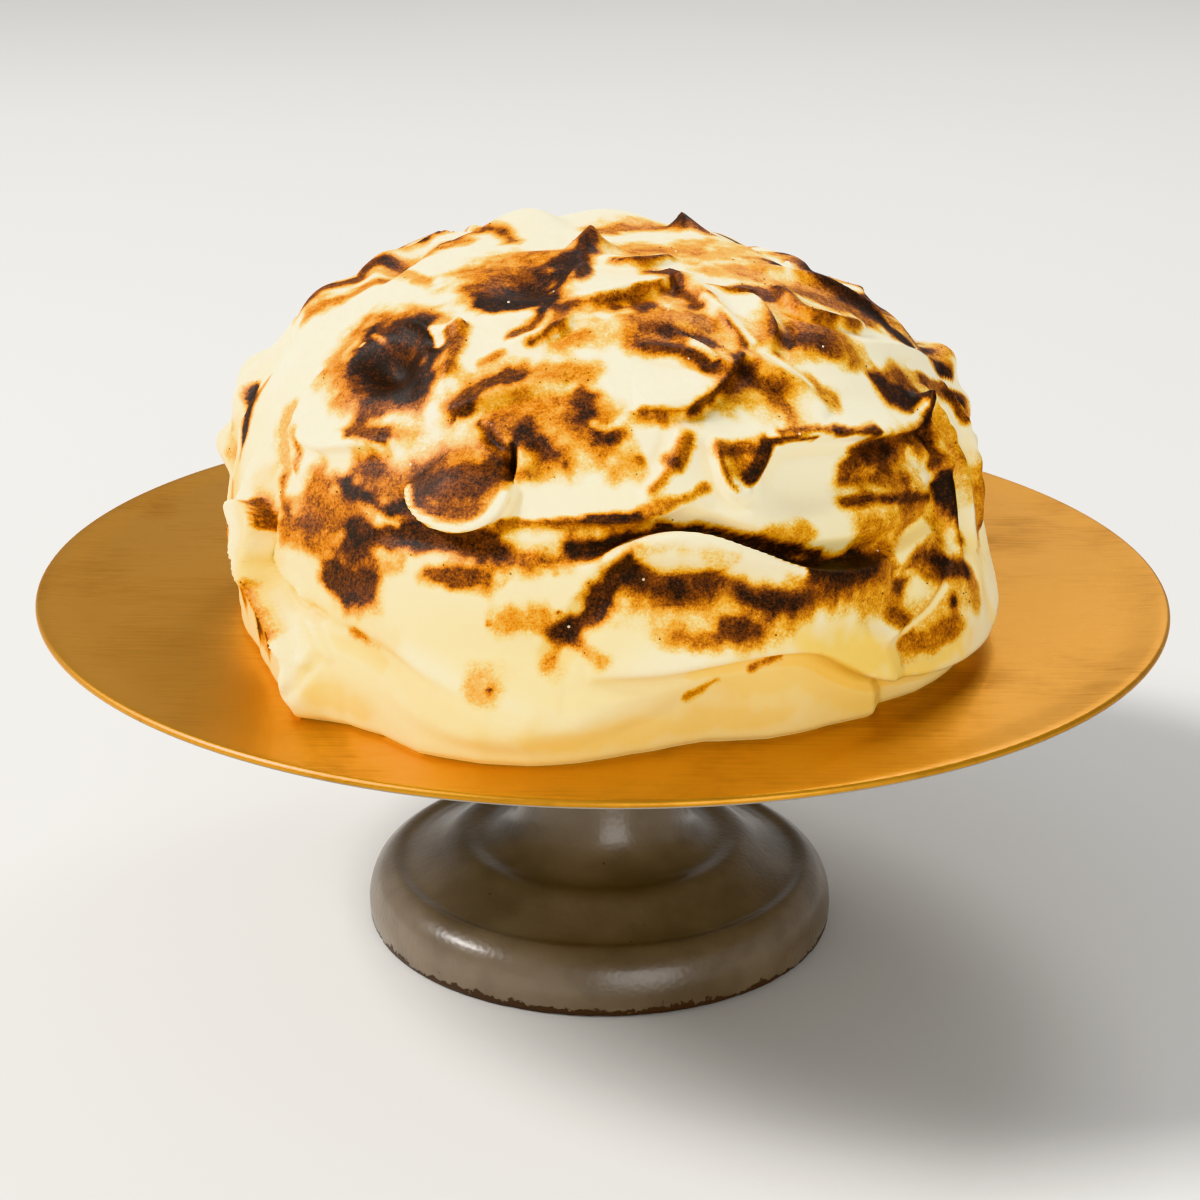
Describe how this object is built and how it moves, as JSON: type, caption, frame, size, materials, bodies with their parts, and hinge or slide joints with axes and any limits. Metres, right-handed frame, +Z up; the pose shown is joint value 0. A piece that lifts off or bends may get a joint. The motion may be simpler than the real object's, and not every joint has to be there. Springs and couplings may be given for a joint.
{
  "type": "baked alaska on a cake stand",
  "caption": "Domed meringue-covered ice cream cake, swept into browned folds, on a round gilded plate with a turned pedestal foot.",
  "frame": {"origin": "centre of the stand's underside, on the surface it stands on", "axes": "+Z up, -Y out of the dessert's front, +X to the right as seen from the front"},
  "size_m": [0.3, 0.3, 0.201],
  "materials": {
    "meringue": null,
    "plate": "brushed and worn gold leaf on top, grey-beige paint on the edge and underside",
    "foot": "grey-beige gloss paint over a pitted casting, chipped to dark brown at the bottom edge"
  },
  "bodies": {
    "root": {"meringue": "meringue", "plate": "plate", "foot": "foot"}
  },
  "joints": []
}
